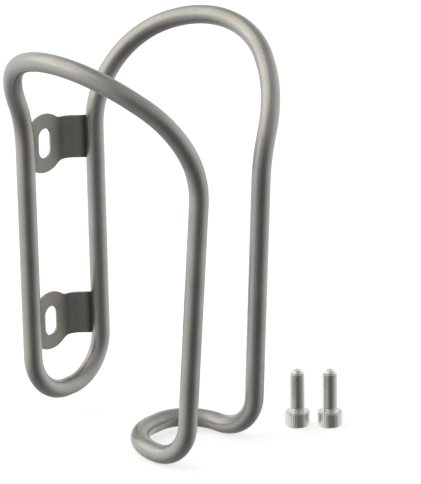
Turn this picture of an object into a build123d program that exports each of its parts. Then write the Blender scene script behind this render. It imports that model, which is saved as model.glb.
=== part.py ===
from build123d import *
import os

# A bicycle bottle cage: one length of thin-wall titanium tube bent into two back rails, two arms,
# two front uprights and a base loop, with two mounting tabs welded between the rails, and the
# cage's two M5 mounting bolts standing on their heads beside it.
#
# Millimetres. +Z runs up along the back rails, -Y points forward, to the bottle's side, and +X is
# to the right seen from the front. The origin is the middle of the two slots' pattern, on the plane
# where the tabs' backs rest on the bicycle's frame. The cage is symmetric about x = 0.

os.makedirs("parts", exist_ok=True)

# Tube
tube_od = 6.35          # quarter-inch tube
tube_wall = 0.5
rail_x = 17.2           # middle plane to the centre line of each back rail
rail_setback = 8.1      # mounting plane to the rails' centre lines
seam_gap = 1.0          # width of the butt weld that closes the tube into a loop

# Bend table of the right-hand half, from the bottom of the back loop, up the rail, over the arm,
# down the upright and round to the base loop. Each corner of the centre line's polygon is given as
# (x, depth in front of the rails, height above the origin, bend radius).
right_bends = [
    (rail_x, 0.0, -54.5, 16.0),     # back loop's bottom corner
    (rail_x, 0.0, 44.5, 31.5),      # rail turns outward and forward into the arm
    (29.5, 4.5, 66.0, 34.0),        # arm swings round the bottle
    (47.0, 43.5, 82.5, 35.5),       # arm's crown, beside the bottle
    (25.0, 73.5, 57.0, 36.0),       # arm drops in to the front
    (15.5, 75.5, 38.0, 32.0),       # arm runs into the upright
    (17.5, 68.5, -61.5, 14.0),      # upright turns back under the bottle
    (16.0, 39.5, -59.0, 15.0),      # base loop's corner
]

# Mounting tabs
slot_spacing = 64.0     # standard distance between a bicycle frame's bottle bosses
slot_width = 6.0
slot_length = 10.5
tab_thickness = 1.0
tab_disc_radius = 10.3
tab_wing_height = 15.0
tab_notch_radius = 5.0  # where the round disc runs into the wings
tab_bend_x = 10.6       # where each wing folds forward, towards the centre line of its rail
tab_bend_radius = 6.0

# Fillet welds along the back of each wing
bead_radius = 1.3
bead_length = 12.5
bead_offset = 0.4       # how far the bead's middle stands out of the corner, both ways

# M5 x 15 socket head bolts
bolt_diameter = 5.0
bolt_length = 15.0
bolt_head_diameter = 8.5
bolt_head_height = 5.0
bolt_socket_flats = 4.0
bolt_socket_depth = 2.5
bolt_head_chamfer = 0.4
bolt_tip_chamfer = 1.3
bolt_places = {"left": (38.0, -79.4), "right": (44.8, -88.2)}

tube_radius = tube_od / 2
tab_heights = {"upper": slot_spacing / 2, "lower": -slot_spacing / 2}
sides = {"left": -1, "right": 1}


def tube_route():
    """Centre line of the tube, from one side of the seam round the whole cage to the other."""
    right_half = [(x, -rail_setback - depth, height) for x, depth, height, radius in right_bends]
    left_half = [(-x, y, z) for x, y, z in reversed(right_half)]
    radii = [bend[-1] for bend in right_bends]
    seam_y, seam_z = right_half[0][1:]
    start = (seam_gap / 2, seam_y, seam_z)
    end = (-seam_gap / 2, seam_y, seam_z)
    corners = [start, *right_half, *left_half, end]
    return FilletPolyline(*corners, radius=[*radii, *reversed(radii)])


def rod_along(route, radius):
    """A round bar of the given radius along the whole route."""
    section = Plane(origin=route @ 0, z_dir=route % 0) * Circle(radius)
    return sweep(section, path=route)


def frame_tube(route, outside):
    """The bent tube, open at the two ends that meet at the seam."""
    return outside - rod_along(route, tube_radius - tube_wall)


def butt_weld(route):
    """The ring of weld metal between the tube's ends, dressed flush with the tube."""
    ring = Circle(tube_radius) - Circle(tube_radius - tube_wall)
    seam = Plane(origin=route @ 1, z_dir=route % 0)
    return extrude(seam * ring, amount=seam_gap)


def mount_tab(height, outside):
    """A round plate with a slot, whose wings fold forward and are coped to the two rails."""
    right_end = (rail_x, -rail_setback)
    right_fold = (tab_bend_x, -tab_thickness / 2)
    left_fold = (-right_fold[0], right_fold[1])
    left_end = (-right_end[0], right_end[1])
    profile = FilletPolyline(left_end, left_fold, right_fold, right_end,
                             radius=tab_bend_radius)
    strip = extrude(trace(profile, tab_thickness), amount=tab_disc_radius, both=True)

    outline = Circle(tab_disc_radius) + Rectangle(2 * rail_x, tab_wing_height)
    notches = [v for v in outline.vertices() if abs(v.X) < tab_disc_radius]
    outline = fillet(notches, tab_notch_radius)
    outline -= SlotOverall(slot_length, slot_width, rotation=90)
    blank = extrude(Plane.XZ * outline, amount=2 * rail_setback, both=True)

    return Pos(0, 0, height) * (strip & blank) - outside


def tab_weld(side, height, tab, outside):
    """The bead in the corner between the back of a wing and the rail it ends on."""
    from_rail = Vector(tab_bend_x - rail_x, rail_setback - tab_thickness / 2).normalized()
    off_wing = Vector(-from_rail.Y, from_rail.X) * -1
    corner = Vector(rail_x, -rail_setback) + from_rail * tube_radius + off_wing * (tab_thickness / 2)
    centre = corner + (from_rail + off_wing) * bead_offset
    bead = Cylinder(bead_radius, bead_length - 2 * bead_radius)
    for end in (-1, 1):
        bead += Pos(0, 0, end * (bead_length / 2 - bead_radius)) * Sphere(bead_radius)
    return Pos(side * centre.X, centre.Y, height) * bead - outside - tab


def mounting_bolt(place, floor):
    """A socket head bolt standing on its head, its thread pointing up."""
    head = Cylinder(bolt_head_diameter / 2, bolt_head_height, align=(Align.CENTER, Align.CENTER, Align.MIN))
    head = chamfer(head.edges().sort_by(Axis.Z)[0], bolt_head_chamfer)
    socket = RegularPolygon(bolt_socket_flats / 2, 6, major_radius=False)
    head -= extrude(socket, amount=bolt_socket_depth)
    shank = Cylinder(bolt_diameter / 2, bolt_length, align=(Align.CENTER, Align.CENTER, Align.MIN))
    shank = chamfer(shank.edges().sort_by(Axis.Z)[-1], bolt_tip_chamfer)
    bolt = head + Pos(0, 0, bolt_head_height) * shank
    return Pos(*place, floor) * bolt


def write(name, shape):
    export_step(shape, f"parts/{name}.step")


route = tube_route()
outside = rod_along(route, tube_radius)
write("frame_tube", frame_tube(route, outside))
write("butt_weld", butt_weld(route))

for level, height in tab_heights.items():
    tab = mount_tab(height, outside)
    write(f"{level}_mount_tab", tab)
    for side_name, side in sides.items():
        write(f"{level}_tab_weld_{side_name}", tab_weld(side, height, tab, outside))

floor = outside.bounding_box().min.Z
for side_name, place in bolt_places.items():
    write(f"mounting_bolt_{side_name}", mounting_bolt(place, floor))

print(f"tube length {route.length:.1f} mm, floor at z = {floor:.2f} mm")
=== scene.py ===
import math

import bmesh
import bpy
from mathutils import Matrix, Vector


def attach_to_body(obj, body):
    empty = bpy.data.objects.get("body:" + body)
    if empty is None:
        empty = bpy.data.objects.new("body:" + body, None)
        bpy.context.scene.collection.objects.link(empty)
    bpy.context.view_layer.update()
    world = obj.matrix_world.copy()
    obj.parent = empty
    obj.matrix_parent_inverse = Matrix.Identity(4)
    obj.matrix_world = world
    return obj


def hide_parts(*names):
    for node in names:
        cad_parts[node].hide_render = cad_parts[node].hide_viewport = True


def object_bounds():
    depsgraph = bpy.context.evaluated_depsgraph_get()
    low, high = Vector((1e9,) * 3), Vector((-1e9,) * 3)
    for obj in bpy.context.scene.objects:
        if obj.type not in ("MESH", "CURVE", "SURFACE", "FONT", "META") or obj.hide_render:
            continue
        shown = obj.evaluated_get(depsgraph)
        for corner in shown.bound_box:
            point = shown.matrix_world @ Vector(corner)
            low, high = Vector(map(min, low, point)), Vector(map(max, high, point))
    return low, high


# Looks of a titanium bottle cage with its two mounting bolts. Metres, in the row frame: +Z up along
# the back rails, -Y forward to the bottle's side, +X to the right seen from the front, and the
# origin in the middle of the two slots, on the plane of the tabs' backs. The cage is symmetric
# about x = 0.

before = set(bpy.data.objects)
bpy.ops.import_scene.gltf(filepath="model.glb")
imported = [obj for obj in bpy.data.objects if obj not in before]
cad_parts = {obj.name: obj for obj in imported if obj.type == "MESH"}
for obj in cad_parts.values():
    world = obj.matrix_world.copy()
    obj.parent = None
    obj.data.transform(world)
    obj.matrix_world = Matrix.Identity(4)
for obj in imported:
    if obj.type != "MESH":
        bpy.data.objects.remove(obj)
cad_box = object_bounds()
floor_z = cad_box[0].z

# Tube: the centre line's corners on the right-hand side, each with its bend radius
tube_radius = 0.003175
tube_wall = 0.0005
seam_gap = 0.001
seam_edge_share = 0.994     # radius of the seam's two edges, as a share of the tube's
rail_x = 0.0172
rail_y = -0.0081
right_bends = [
    ((rail_x, rail_y, -0.0545), 0.0160),
    ((rail_x, rail_y, 0.0445), 0.0315),
    ((0.0295, -0.0126, 0.0660), 0.0340),
    ((0.0470, -0.0516, 0.0825), 0.0355),
    ((0.0250, -0.0816, 0.0570), 0.0360),
    ((0.0155, -0.0836, 0.0380), 0.0320),
    ((0.0175, -0.0766, -0.0615), 0.0140),
    ((0.0160, -0.0476, -0.0590), 0.0150),
]

# Mounting tabs
tab_heights = {"upper": 0.032, "lower": -0.032}
slot_width = 0.006
slot_length = 0.0105
tab_thickness = 0.001
tab_disc_radius = 0.0103
tab_wing_height = 0.015
tab_notch_radius = 0.005
tab_bend_x = 0.0106
tab_bend_radius = 0.006
tab_edge_radius = 0.00022
wing_overlap = 0.0003       # how far each wing's end runs into the rail's wall

# Weld beads behind the wings
bead_radius = 0.0013
bead_length = 0.0125
bead_offset = 0.0004        # how far the bead's middle stands out of the corner, both ways
bead_sunk = 0.0002          # how deep the bead goes into the rail and the wing
bead_ripple = 0.00085       # distance from one ripple to the next
ripple_depth = 0.09         # share of the bead's radius that is lost between two ripples
ripple_bow = 0.35           # how far each ripple is bowed, in ripples

# M5 x 15 bolts
thread_radius = 0.0025
thread_pitch = 0.0008
thread_depth = 0.00043
thread_length = 0.015
tip_chamfer = 0.0013
head_radius = 0.00425
head_height = 0.005
head_chamfer = 0.0004
head_crown = 0.00018        # rounding of the head's edge beside the shank
neck_radius = 0.0002        # fillet between the head and the shank
socket_flats = 0.004
socket_depth = 0.0025
socket_chamfer = 0.0001     # at the socket's far end
socket_mouth = 0.0003       # countersink round the socket's opening
socket_point = 0.0004       # how far the drill's mark goes in past the socket's end
knurl_count = 40
knurl_depth = 0.00007
knurl_fade = 0.0003         # length over which the knurl's ridges run out
bolt_places = {"left": (0.0380, -0.0794), "right": (0.0448, -0.0882)}

# Marks on the metal: a heat tint on the tube, and painted shade on the tabs beside the rails and in the
# folds
heat_rises = (-0.004, 0, 0.004)     # heights round a tab's middle where a wing's weld heats the rail
heat_reach = 0.005
# Painted shade on the wings in the corner where each meets its rail
rail_shade_reach = 0.0014        # dark line on the wings beside the rails
# Painted shade across the start of each wing's fold
fold_shade_x = 0.0084        # darker band where each wing starts to fold
fold_shade_reach = 0.0022
fold_shade_share = 0.55

# Fineness of the meshes
tube_step = 0.0012          # longest distance between two rings of the tube
tube_sides = 48
bead_sides = 28
rows_per_ripple = 8
notch_steps = 10
disc_steps = 12
slot_steps = 20
fold_steps = 16
wing_steps = 10
sharp_angle = math.radians(40)

sides = {"left": -1, "right": 1}


# ---- Centre lines -------------------------------------------------------------------------------

def rounded_route(corners, radii, step):
    """Points along straight runs joined by tangent arcs, one radius for each inner corner."""
    points = [corners[0]]
    for before, corner, after, radius in zip(corners, corners[1:], corners[2:], radii):
        toward_before = (before - corner).normalized()
        toward_after = (after - corner).normalized()
        half_turn = (math.pi - toward_before.angle(toward_after)) / 2
        tangent = radius * math.tan(half_turn)
        inward = (toward_before + toward_after).normalized()
        centre = corner + inward * (radius / math.cos(half_turn))
        along = (toward_after - toward_before).normalized()
        add_run(points, corner + toward_before * tangent, step)
        count = math.ceil(2 * half_turn * radius / step)
        for i in range(1, count + 1):
            angle = half_turn * (2 * i / count - 1)
            points.append(centre + (along * math.sin(angle) - inward * math.cos(angle)) * radius)
    add_run(points, corners[-1], step)
    return points


def add_run(points, end, step):
    """Extends a list of points straight to end, in equal steps."""
    start = points[-1]
    count = math.ceil((end - start).length / step)
    points.extend(start.lerp(end, i / count) for i in range(1, count + 1))


def tube_route():
    """The tube's centre line, from one side of the seam round the whole cage to the other."""
    right = [Vector(corner) for corner, radius in right_bends]
    left = [Vector((-c.x, c.y, c.z)) for c in reversed(right)]
    radii = [radius for corner, radius in right_bends]
    start = Vector((seam_gap / 2, right[0].y, right[0].z))
    end = Vector((-seam_gap / 2, right[0].y, right[0].z))
    return rounded_route([start, *right, *left, end], radii + radii[::-1], tube_step)


def carried_frames(points):
    """(point, side, up) along a line, the two directions carried along without twisting."""
    frames = []
    up = Vector((0, 0, 1))
    for i, point in enumerate(points):
        ahead = points[min(i + 1, len(points) - 1)]
        behind = points[max(i - 1, 0)]
        forward = (ahead - behind).normalized()
        up = (up - forward * up.dot(forward)).normalized()
        frames.append((point, forward.cross(up), up))
    return frames


# ---- Mesh building ------------------------------------------------------------------------------

def finished_piece(name, bm, material):
    """Turns a bmesh into a smooth-shaded object with its edges sharp where they fold steeply."""
    bmesh.ops.recalc_face_normals(bm, faces=bm.faces)
    mesh = bpy.data.meshes.new(name)
    bm.to_mesh(mesh)
    bm.free()
    mesh.materials.append(material)
    mesh.shade_smooth()
    mesh.set_sharp_from_angle(angle=sharp_angle)
    piece = bpy.data.objects.new(name, mesh)
    bpy.context.scene.collection.objects.link(piece)
    return piece


def ring_of(bm, place, radius, count):
    """A ring of vertices round (point, side, up)."""
    point, side, up = place
    turns = [2 * math.pi * k / count for k in range(count)]
    return [bm.verts.new(point + (side * math.cos(a) + up * math.sin(a)) * radius) for a in turns]


def bridge(bm, ring_a, ring_b):
    """Faces between two rings that have the same number of vertices."""
    count = len(ring_a)
    for k in range(count):
        after = (k + 1) % count
        bm.faces.new((ring_a[k], ring_a[after], ring_b[after], ring_b[k]))


def close_with_point(bm, ring, point):
    """A fan of triangles from a ring to one point."""
    middle = bm.verts.new(point)
    for k in range(len(ring)):
        bm.faces.new((ring[k], ring[(k + 1) % len(ring)], middle))


def swept_wall(bm, frames, radius, count):
    """A round wall along the frames. Returns its first and last rings."""
    rings = [ring_of(bm, place, radius, count) for place in frames]
    for ring_a, ring_b in zip(rings, rings[1:]):
        bridge(bm, ring_a, ring_b)
    return rings[0], rings[-1]


def tube_mesh(frames):
    """A hollow tube with its bore and its two ring-shaped ends."""
    bm = bmesh.new()
    outer_ends = swept_wall(bm, frames, tube_radius, tube_sides)
    bore_ends = swept_wall(bm, frames, tube_radius - tube_wall, tube_sides)
    for outer, bore in zip(outer_ends, bore_ends):
        bridge(bm, outer, bore)
    return bm


def seam_weld_mesh():
    """The ring of weld metal that closes the tube, dressed flush but for a hairline at each side."""
    centre = Vector((0, rail_y, right_bends[0][0][2]))
    # Each row is how far across the gap it lies, from -1 to 1, and its share of the tube's radius.
    section = [(-1, seam_edge_share), (-0.8, 1), (0, 1), (0.8, 1), (1, seam_edge_share)]
    bm = bmesh.new()
    outer = []
    bore = []
    for across, share in section:
        middle = centre + Vector((across * seam_gap / 2, 0, 0))
        place = (middle, Vector((0, 1, 0)), Vector((0, 0, 1)))
        outer.append(ring_of(bm, place, tube_radius * share, tube_sides))
        bore.append(ring_of(bm, place, tube_radius - tube_wall, tube_sides))
    rings = [*outer, *reversed(bore)]
    for ring_a, ring_b in zip(rings, rings[1:] + rings[:1]):
        bridge(bm, ring_a, ring_b)
    return bm


# ---- Mounting tabs ------------------------------------------------------------------------------

wing_run = Vector((rail_x - tab_bend_x, -tab_thickness / 2 - rail_y))
wing_angle = math.atan2(wing_run.y, wing_run.x)
bend_tangent = tab_bend_radius * math.tan(wing_angle / 2)
bend_start = tab_bend_x - bend_tangent
bend_end = bend_start + tab_bend_radius * wing_angle
wing_end = bend_end + wing_run.length - bend_tangent - tube_radius + wing_overlap


def arc(centre, radius, start, end, count):
    """Points round part of a circle, angles in radians."""
    angles = [start + (end - start) * i / count for i in range(count + 1)]
    return [Vector((centre[0] + radius * math.cos(a), centre[1] + radius * math.sin(a)))
            for a in angles]


def tab_outline():
    """The flat tab's outer edge: a disc whose sides run into two straight wings through notches."""
    half_height = tab_wing_height / 2
    reach = tab_disc_radius + tab_notch_radius
    rise = half_height + tab_notch_radius
    notch_x = math.sqrt(reach ** 2 - rise ** 2)
    meeting = math.atan2(rise, notch_x)
    notch = arc((notch_x, rise), tab_notch_radius, math.pi + meeting, 1.5 * math.pi, notch_steps)
    disc = arc((0, 0), tab_disc_radius, meeting, math.pi / 2, disc_steps)
    quarter = [Vector((wing_end, half_height)), *reversed(notch), *disc[1:-1]]
    mirrored = [Vector((-p.x, p.y)) for p in reversed(quarter)]
    top = [*quarter, Vector((0, tab_disc_radius)), *mirrored]
    return [*top, *(Vector((-p.x, -p.y)) for p in top)]


def slot_outline():
    """The slot: two half circles joined by straight sides."""
    end_radius = slot_width / 2
    rise = slot_length / 2 - end_radius
    top = arc((0, rise), end_radius, 0, math.pi, slot_steps)
    bottom = arc((0, -rise), end_radius, math.pi, 2 * math.pi, slot_steps)
    return top + bottom


def folded(station, height, depth):
    """Where a point of the flat tab goes once the wings are folded. depth runs back from its middle."""
    side = math.copysign(1, station)
    run = abs(station)
    turn = min(max(run - bend_start, 0) / tab_bend_radius, wing_angle)
    straight = max(run - bend_end, 0)
    x = min(run, bend_start) + tab_bend_radius * math.sin(turn) + straight * math.cos(turn)
    y = -tab_bend_radius * (1 - math.cos(turn)) - straight * math.sin(turn)
    x += depth * math.sin(turn)
    y += depth * math.cos(turn)
    return Vector((side * x, y - tab_thickness / 2, height))


def tab_mesh(height):
    """The folded plate with its slot, its edges rounded as if tumbled."""
    bm = bmesh.new()
    edges = []
    for outline in (tab_outline(), slot_outline()):
        verts = [bm.verts.new((p.x, 0, p.y)) for p in outline]
        edges += [bm.edges.new(pair) for pair in zip(verts, verts[1:] + verts[:1])]
    filled = bmesh.ops.triangle_fill(bm, use_beauty=True, edges=edges)
    front = [item for item in filled["geom"] if isinstance(item, bmesh.types.BMFace)]
    plate = bmesh.ops.extrude_face_region(bm, geom=front)
    for vert in (item for item in plate["geom"] if isinstance(item, bmesh.types.BMVert)):
        vert.co.y += tab_thickness
    bmesh.ops.recalc_face_normals(bm, faces=bm.faces)
    rims = [edge for edge in bm.edges if edge.calc_face_angle(0) > math.radians(60)]
    bmesh.ops.bevel(bm, geom=rims, offset=tab_edge_radius, segments=3, profile=0.5, affect="EDGES")

    fold_rows = [bend_start + (bend_end - bend_start) * i / fold_steps for i in range(fold_steps + 1)]
    wing_rows = [bend_end + (wing_end - bend_end) * i / wing_steps for i in range(1, wing_steps)]
    for side in (-1, 1):
        for station in fold_rows + wing_rows:
            bmesh.ops.bisect_plane(bm, geom=[*bm.verts, *bm.edges, *bm.faces], dist=1e-7,
                                   plane_co=(side * station, 0, 0), plane_no=(1, 0, 0))
    for vert in bm.verts:
        vert.co = folded(vert.co.x, vert.co.z + height, vert.co.y - tab_thickness / 2)
    return bm


# ---- Weld beads ---------------------------------------------------------------------------------

def weld_bead_mesh(side, height):
    """A rippled bead in the corner between the back of a wing and its rail."""
    from_rail = Vector((-wing_run.x, wing_run.y)).normalized()
    off_wing = Vector((from_rail.y, -from_rail.x))
    corner = Vector((rail_x, rail_y)) + from_rail * tube_radius + off_wing * (tab_thickness / 2)
    centre = corner + (from_rail + off_wing) * bead_offset
    facing = math.atan2((from_rail + off_wing).y, (from_rail + off_wing).x)
    half_run = bead_length / 2
    count = round(bead_length / (bead_ripple / rows_per_ripple))
    bm = bmesh.new()
    rings = []
    for i in range(1, count):
        station = -half_run + bead_length * i / count
        past_end = max(abs(station) - (half_run - bead_radius), 0)
        taper = math.sqrt(max(bead_radius ** 2 - past_end ** 2, 0)) / bead_radius
        ring = []
        for k in range(bead_sides):
            angle = 2 * math.pi * k / bead_sides
            bow = ripple_bow * bead_ripple * (1 + math.cos(angle - facing))
            phase = (station - bow) / bead_ripple % 1
            radius = bead_radius * taper * (1 - ripple_depth * (1 - math.sin(math.pi * phase)) ** 2)
            point = centre + Vector((math.cos(angle), math.sin(angle))) * radius
            point = kept_shallow(point, corner, off_wing)
            ring.append(bm.verts.new((side * point.x, point.y, height + station)))
        rings.append(ring)
    for ring_a, ring_b in zip(rings, rings[1:]):
        bridge(bm, ring_a, ring_b)
    for ring in (rings[0], rings[-1]):
        bm.faces.new(ring)
    return bm


def kept_shallow(point, corner, off_wing):
    """A point of the bead's section, moved so that it goes no deeper than bead_sunk."""
    above_wing = (point - corner).dot(off_wing)
    if above_wing < -bead_sunk:
        point = point - off_wing * (above_wing + bead_sunk)
    rail = Vector((rail_x, rail_y))
    if (point - rail).length < tube_radius - bead_sunk:
        point = rail + (point - rail).normalized() * (tube_radius - bead_sunk)
    return point


# ---- Bolts --------------------------------------------------------------------------------------

def hexagon_radius(angle, flats):
    """Distance from the middle to the side of a hexagon, by angle."""
    return flats / 2 / math.cos((angle % (math.pi / 3)) - math.pi / 6)


def bolt_mesh(place):
    """A socket head bolt standing on its head, with a helical thread."""
    around = 4 * knurl_count
    angles = [2 * math.pi * k / around for k in range(around)]
    bm = bmesh.new()

    def level(z, radius_at):
        return [bm.verts.new((place[0] + radius_at(a) * math.cos(a),
                              place[1] + radius_at(a) * math.sin(a), floor_z + z)) for a in angles]

    def round_level(z, radius):
        return level(z, lambda angle: radius)

    def hexagon_level(z, flats):
        return level(z, lambda angle: hexagon_radius(angle, flats))

    def knurled_level(z):
        return level(z, lambda angle: head_radius - knurl_depth * (1 - math.cos(knurl_count * angle)) / 2)

    crown_middle = 0.3 * head_crown
    head = [
        hexagon_level(socket_depth, socket_flats - 2 * socket_chamfer),
        hexagon_level(socket_depth - socket_chamfer, socket_flats),
        hexagon_level(socket_mouth, socket_flats),
        round_level(0, socket_flats / 2 + socket_mouth),
        round_level(0, head_radius - head_chamfer),
        round_level(head_chamfer, head_radius),
        knurled_level(head_chamfer + knurl_fade),
        knurled_level(head_height - head_crown - knurl_fade),
        round_level(head_height - head_crown, head_radius),
        round_level(head_height - crown_middle, head_radius - crown_middle),
        round_level(head_height, head_radius - head_crown),
        round_level(head_height, thread_radius + neck_radius),
        round_level(head_height + neck_radius, thread_radius),
    ]
    for ring_a, ring_b in zip(head, head[1:]):
        bridge(bm, ring_a, ring_b)
    close_with_point(bm, head[0], Vector((*place, floor_z + socket_depth + socket_point)))

    tip = head_height + thread_length
    first, last = thread_wall(bm, place, head_height + neck_radius, tip, around)
    bridge(bm, head[-1], first)
    close_with_point(bm, last, Vector((*place, floor_z + tip)))
    bmesh.ops.remove_doubles(bm, verts=bm.verts, dist=1e-6)
    return bm


def thread_wall(bm, place, start, end, around):
    """A helical wall whose rows follow the thread's crest and root. Returns its two end rings."""
    levels = [0, 1 / 5, 2 / 5, 4 / 5]    # crest, crest's end, root, root's end, in pitches
    depths = [0, 0, 1, 1]
    runout = 2 * thread_pitch
    turns = math.ceil((end - start) / thread_pitch) + 2
    rings = []
    for row in range(turns * len(levels)):
        ring = []
        whole, part = divmod(row, len(levels))
        for k in range(around):
            angle = 2 * math.pi * k / around
            climb = (whole + levels[part] + k / around - 1) * thread_pitch
            z = min(max(start + climb, start), end)
            fade = min((z - start) / runout, 1)
            radius = thread_radius - depths[part] * thread_depth * fade
            radius = min(radius, thread_radius - tip_chamfer + (end - z))
            ring.append(bm.verts.new((place[0] + radius * math.cos(angle),
                                      place[1] + radius * math.sin(angle), floor_z + z)))
        rings.append(ring)

    # Where the helix comes round to its first column, each row meets the row one turn above it.
    for row in range(len(rings) - 1):
        for k in range(around - 1):
            bm.faces.new((rings[row][k], rings[row][k + 1], rings[row + 1][k + 1], rings[row + 1][k]))
        above = row + len(levels)
        if above + 1 < len(rings):
            bm.faces.new((rings[row][-1], rings[above][0], rings[above + 1][0], rings[row + 1][-1]))
    return rings[0], rings[-1]


# ---- Materials ----------------------------------------------------------------------------------

def blank_material(name):
    """A material with its node tree and its Principled shader."""
    material = bpy.data.materials.new(name)
    material.use_nodes = True
    return material, material.node_tree, material.node_tree.nodes["Principled BSDF"]


def noise(tree, coordinates, size, detail=2.0, roughness=0.5):
    """Noise whose features are about size metres across. Returns its value, 0 to 1."""
    node = tree.nodes.new("ShaderNodeTexNoise")
    node.inputs["Scale"].default_value = 1 / size
    node.inputs["Detail"].default_value = detail
    node.inputs["Roughness"].default_value = roughness
    tree.links.new(coordinates, node.inputs["Vector"])
    return node.outputs["Fac"]


def spread(tree, value, low, high, from_low=0.3, from_high=0.7):
    """A value whose range from_low to from_high is stretched to low to high."""
    node = tree.nodes.new("ShaderNodeMapRange")
    node.inputs["From Min"].default_value = from_low
    node.inputs["From Max"].default_value = from_high
    node.inputs["To Min"].default_value = low
    node.inputs["To Max"].default_value = high
    tree.links.new(value, node.inputs["Value"])
    return node.outputs["Result"]


def mixed(tree, factor, colour_a, colour_b):
    """A colour between two, which are colours or sockets, by a socket's value."""
    node = tree.nodes.new("ShaderNodeMix")
    node.data_type = "RGBA"
    tree.links.new(factor, node.inputs["Factor"])
    for colour, name in ((colour_a, "A"), (colour_b, "B")):
        socket = next(i for i in node.inputs if i.name == name and i.type == "RGBA")
        if isinstance(colour, bpy.types.NodeSocket):
            tree.links.new(colour, socket)
        else:
            socket.default_value = (*colour, 1)
    return next(o for o in node.outputs if o.type == "RGBA")


def scaled(tree, value, factor, added):
    """value times factor, plus added, which is a number or a socket."""
    node = tree.nodes.new("ShaderNodeMath")
    node.operation = "MULTIPLY_ADD"
    tree.links.new(value, node.inputs[0])
    node.inputs[1].default_value = factor
    if isinstance(added, bpy.types.NodeSocket):
        tree.links.new(added, node.inputs[2])
    else:
        node.inputs[2].default_value = added
    return node.outputs["Value"]


def blended(tree, value_a, value_b, share):
    """A share of the first value and the rest of the second."""
    return scaled(tree, value_a, share, scaled(tree, value_b, 1 - share, 0.0))


def multiplied(tree, colour_a, colour_b):
    """The product of two colour sockets."""
    node = tree.nodes.new("ShaderNodeVectorMath")
    node.operation = "MULTIPLY"
    tree.links.new(colour_a, node.inputs[0])
    tree.links.new(colour_b, node.inputs[1])
    return node.outputs["Vector"]


def bumped(tree, shader, height, depth, strength):
    """Bump on the shader's normal. depth is in metres."""
    node = tree.nodes.new("ShaderNodeBump")
    node.inputs["Strength"].default_value = strength
    node.inputs["Distance"].default_value = depth
    tree.links.new(height, node.inputs["Height"])
    tree.links.new(node.outputs["Normal"], shader.inputs["Normal"])


def object_coordinates(tree):
    """The place on the object, in metres."""
    return tree.nodes.new("ShaderNodeTexCoord").outputs["Object"]


def marked(tree, name, colour, tint_and_shade_colour):
    """A colour that turns to tint_and_shade_colour where the mesh's attribute of this name is 1."""
    tint_and_shade = tree.nodes.new("ShaderNodeAttribute")
    tint_and_shade.attribute_name = name
    return mixed(tree, tint_and_shade.outputs["Fac"], colour, tint_and_shade_colour)


def blasted_metal(name, dark, light, roughness, grain, tint_and_shade_colour=None):
    """Bead-blasted metal: fine even grain, and broad blotches that are a little warmer or cooler."""
    material, tree, shader = blank_material(name)
    place = object_coordinates(tree)
    fine = noise(tree, place, grain, detail=3.0, roughness=0.7)
    broad = noise(tree, place, 22 * grain, detail=2.0)
    tone = blended(tree, broad, fine, 0.35)
    colour = mixed(tree, spread(tree, tone, 0, 1, 0.36, 0.64), dark, light)
    patches = spread(tree, noise(tree, place, 0.009), 0, 1)
    cast = mixed(tree, patches, (1.0, 0.945, 0.90), (0.93, 0.975, 0.965))
    colour = multiplied(tree, colour, cast)
    # The tube's heat tint, and the tabs' painted shade, from the mesh's attribute
    if tint_and_shade_colour:
        colour = marked(tree, "tint_and_shade", colour, tint_and_shade_colour)
    tree.links.new(colour, shader.inputs["Base Color"])
    rough_low, rough_high = roughness
    tree.links.new(spread(tree, tone, rough_low, rough_high), shader.inputs["Roughness"])
    shader.inputs["Metallic"].default_value = 1.0
    bumped(tree, shader, noise(tree, place, grain * 0.55, detail=2.0), depth=0.00003, strength=0.5)
    return material


def titanium():
    """The tube: satin, warm grey, a little straw-coloured beside the welds."""
    return blasted_metal("titanium", dark=(0.404, 0.405, 0.392), light=(0.540, 0.541, 0.524),
                         roughness=(0.32, 0.40), grain=0.00045, tint_and_shade_colour=(0.54, 0.50, 0.43))


def titanium_plate():
    """The tabs: the same metal as sheet, duller than the tube, with painted shade beside the rails and in
    the folds.
    """
    return blasted_metal("titanium_plate", dark=(0.405, 0.400, 0.380), light=(0.522, 0.517, 0.490),
                         roughness=(0.50, 0.56), grain=0.00035, tint_and_shade_colour=(0.105, 0.105, 0.108))


def weld_metal():
    """The beads: smoother and brighter than the blasted metal round them."""
    return blasted_metal("weld_metal", dark=(0.50, 0.49, 0.47), light=(0.64, 0.62, 0.58),
                         roughness=(0.24, 0.34), grain=0.00030)


def stainless():
    """The bolts: turned steel with fine rings round the axis, and painted shade in the thread's grooves.
    """
    material, tree, shader = blank_material("stainless")
    place = object_coordinates(tree)
    flatten = tree.nodes.new("ShaderNodeMapping")
    flatten.inputs["Scale"].default_value = (0.08, 0.08, 1.0)
    tree.links.new(place, flatten.inputs["Vector"])
    rings = noise(tree, flatten.outputs["Vector"], 0.00016, detail=3.0, roughness=0.6)
    fine = noise(tree, place, 0.0004, detail=2.0)
    tone = blended(tree, rings, fine, 0.6)
    turned = spread(tree, tone, 0, 1, 0.34, 0.66)
    colour = mixed(tree, turned, (0.76, 0.755, 0.704), (0.88, 0.872, 0.820))
    # Painted shade: the colour turns darker down in the thread's grooves
    colour = marked(tree, "groove_shade", colour, (0.64, 0.63, 0.59))
    tree.links.new(colour, shader.inputs["Base Color"])
    tree.links.new(spread(tree, tone, 0.18, 0.26), shader.inputs["Roughness"])
    shader.inputs["Metallic"].default_value = 1.0
    bumped(tree, shader, rings, depth=0.00001, strength=0.4)
    return material


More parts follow.
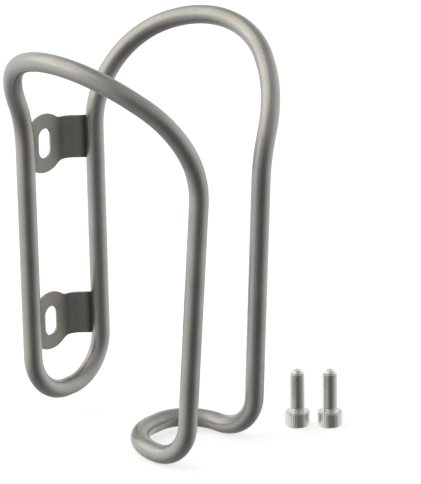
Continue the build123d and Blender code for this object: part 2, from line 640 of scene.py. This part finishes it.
def floor_paint():
    """A plain matt white, a little uneven."""
    material, tree, shader = blank_material("floor_paint")
    cloudy = noise(tree, object_coordinates(tree), 0.4)
    paint = mixed(tree, cloudy, (0.60, 0.60, 0.60), (0.63, 0.63, 0.63))
    tree.links.new(paint, shader.inputs["Base Color"])
    shader.inputs["Roughness"].default_value = 0.9
    shader.inputs["Specular IOR Level"].default_value = 0.1
    shader.inputs["Emission Color"].default_value = (1, 1, 1, 1)
    shader.inputs["Emission Strength"].default_value = 0.66
    return material


# ---- Marks and painted shade --------------------------------------------------------------------

def mark_mesh(piece, name, share_at):
    """Writes a number from 0 to 1 for each vertex to the mesh, worked out from its place."""
    marks = piece.data.attributes.new(name, "FLOAT", "POINT")
    marks.data.foreach_set("value", [share_at(vert.co) for vert in piece.data.vertices])


def heat_at(place):
    """How strongly the tube is tinted at a place, by its distance from the wings' welds."""
    spots = [Vector((side * rail_x, rail_y + tube_radius, height + rise))
             for side in sides.values() for height in tab_heights.values() for rise in heat_rises]
    distance = min((place - spot).length for spot in spots)
    return math.exp(-(distance / heat_reach) ** 2)


def tab_shade_at(place):
    """How much painted shade a tab gets at a place: in the corner beside each rail, and where each wing
    starts to fold.
    """
    off_rail = math.hypot(rail_x - abs(place.x), rail_y - place.y) - tube_radius
    # Painted shade in the corner where the wing meets the rail
    by_rail = math.exp(-(max(off_rail, 0) / rail_shade_reach) ** 2)
    # Painted shade across the start of each fold
    by_fold = fold_shade_share * math.exp(-((abs(place.x) - fold_shade_x) / fold_shade_reach) ** 2)
    return max(by_rail, by_fold)


def groove_at(place, axis):
    """How deep in its bolt's thread a place lies, from 0 on the crest to 1 at the root."""
    above_head = place.z - floor_z - head_height
    if above_head <= 0:
        return 0
    crest = min(thread_radius, thread_radius - tip_chamfer + thread_length - above_head)
    depth = crest - math.hypot(place.x - axis[0], place.y - axis[1])
    return min(max(depth / thread_depth, 0), 1)


# ---- Studio -------------------------------------------------------------------------------------

def studio_floor():
    """A wide round floor under the cage, which the metal doesn't reflect."""
    bm = bmesh.new()
    bmesh.ops.create_circle(bm, cap_ends=True, radius=3.0, segments=96)
    floor = finished_piece("floor", bm, floor_paint())
    floor.location.z = floor_z
    floor.visible_glossy = False


def brightness_ramp(tree, value, stops):
    """Grey as a function of a value, through (value, brightness) stops, 0 to 1."""
    node = tree.nodes.new("ShaderNodeValToRGB")
    ramp = node.color_ramp
    while len(ramp.elements) < len(stops):
        ramp.elements.new(0.5)
    for element, (position, grey) in zip(ramp.elements, stops):
        element.position = position
        element.color = (grey, grey, grey, 1)
    tree.links.new(value, node.inputs["Fac"])
    return node.outputs["Color"]


def toward(tree, direction):
    """How far the ray points along a direction, from 0 for straight away to 1 for straight along."""
    node = tree.nodes.new("ShaderNodeVectorMath")
    node.operation = "DOT_PRODUCT"
    node.inputs[1].default_value = direction
    tree.links.new(tree.nodes.new("ShaderNodeTexCoord").outputs["Generated"], node.inputs[0])
    return scaled(tree, node.outputs["Value"], 0.5, 0.5)


def studio_surroundings():
    """Pale walls, duller above and below, with an unlit corner in front and a dim patch opposite."""
    world = bpy.data.worlds.new("studio")
    bpy.context.scene.world = world
    world.use_nodes = True
    tree = world.node_tree
    dark_corner = Vector((-0.54, -0.80, -0.26))
    walls = brightness_ramp(tree, toward(tree, dark_corner),
                            [(0.05, 0.81), (0.24, 0.81), (0.50, 0.70), (0.70, 0.55),
                             (0.794, 0.43), (0.867, 0.29), (0.93, 0.17), (0.993, 0.108)])
    heights = brightness_ramp(tree, toward(tree, Vector((0, 0, 1))),
                              [(0.02, 0.33), (0.12, 0.44), (0.22, 0.78), (0.34, 0.93),
                               (0.50, 1.0), (0.67, 0.95), (0.82, 0.70), (0.93, 0.48)])
    dim_patch = Vector((0.66, 0.30, 0.69))
    patch = brightness_ramp(tree, toward(tree, dim_patch), [(0.88, 1.0), (0.95, 0.86), (0.99, 0.72)])
    shade = multiplied(tree, multiplied(tree, walls, heights), patch)
    background = tree.nodes["Background"]
    tree.links.new(shade, background.inputs["Color"])
    background.inputs["Strength"].default_value = 1.3


def softbox(name, place, size, radiance):
    """A square, faintly warm area light aimed at the middle of the cage."""
    light = bpy.data.lights.new(name, "AREA")
    light.size = size
    light.energy = radiance * math.pi * size ** 2
    light.color = (1.0, 0.905, 0.82)
    box = bpy.data.objects.new(name, light)
    box.location = place
    box.rotation_mode = "QUATERNION"
    cage_middle = Vector((0, -0.04, 0))
    box.rotation_quaternion = (cage_middle - Vector(place)).to_track_quat("-Z", "Y")
    bpy.context.scene.collection.objects.link(box)


def photo_camera():
    """The photograph's viewpoint: about a metre off, 50 degrees round to the left and 18 above."""
    camera = bpy.data.cameras.new("camera")
    camera.sensor_width = 36
    camera.lens = 223.13
    camera.clip_start = 0.05
    camera.clip_end = 20
    viewer = bpy.data.objects.new("camera", camera)
    place = Vector((-0.7074, -0.6808, 0.3204))
    target = Vector((0.0140, -0.0622, 0.0053))
    roll = Matrix.Rotation(math.radians(-1.09), 3, "Z").to_quaternion()
    viewer.location = place
    viewer.rotation_mode = "QUATERNION"
    viewer.rotation_quaternion = (target - place).to_track_quat("-Z", "Y") @ roll
    bpy.context.scene.collection.objects.link(viewer)
    bpy.context.scene.camera = viewer


# ---- Assembly -----------------------------------------------------------------------------------

def attach(piece, body, node):
    """Makes a piece move with its body and stand for a CAD node, which it hides."""
    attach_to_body(piece, body)
    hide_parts(node)


tube_metal = titanium()
plate_metal = titanium_plate()
bead_metal = weld_metal()
steel = stainless()

tube = finished_piece("tube", tube_mesh(carried_frames(tube_route())), tube_metal)
mark_mesh(tube, "tint_and_shade", heat_at)
attach(tube, "cage", "frame_tube")

seam = finished_piece("seam_weld", seam_weld_mesh(), tube_metal)
attach(seam, "cage", "butt_weld")

for level, height in tab_heights.items():
    tab = finished_piece(f"{level}_tab", tab_mesh(height), plate_metal)
    # Painted shade on each tab, beside the rails and in the folds
    mark_mesh(tab, "tint_and_shade", tab_shade_at)
    tab.modifiers.new("even_shading", "WEIGHTED_NORMAL").keep_sharp = True
    attach(tab, "cage", f"{level}_mount_tab")
    for side_name, side in sides.items():
        bead = finished_piece(f"{level}_weld_{side_name}", weld_bead_mesh(side, height), bead_metal)
        attach(bead, "cage", f"{level}_tab_weld_{side_name}")

for side_name, axis in bolt_places.items():
    bolt = finished_piece(f"bolt_{side_name}", bolt_mesh(axis), steel)
    # How deep each place lies in the thread, for the painted shade in its grooves
    mark_mesh(bolt, "groove_shade", lambda place: groove_at(place, axis))
    attach(bolt, f"{side_name}_bolt", f"mounting_bolt_{side_name}")

studio_floor()
studio_surroundings()
softbox("back_softbox", (-0.50, 0.50, 0.82), size=1.5, radiance=0.68)
softbox("left_softbox", (-1.30, 0.10, 0.12), size=1.0, radiance=0.10)
photo_camera()
bpy.context.scene.view_settings.view_transform = "Standard"
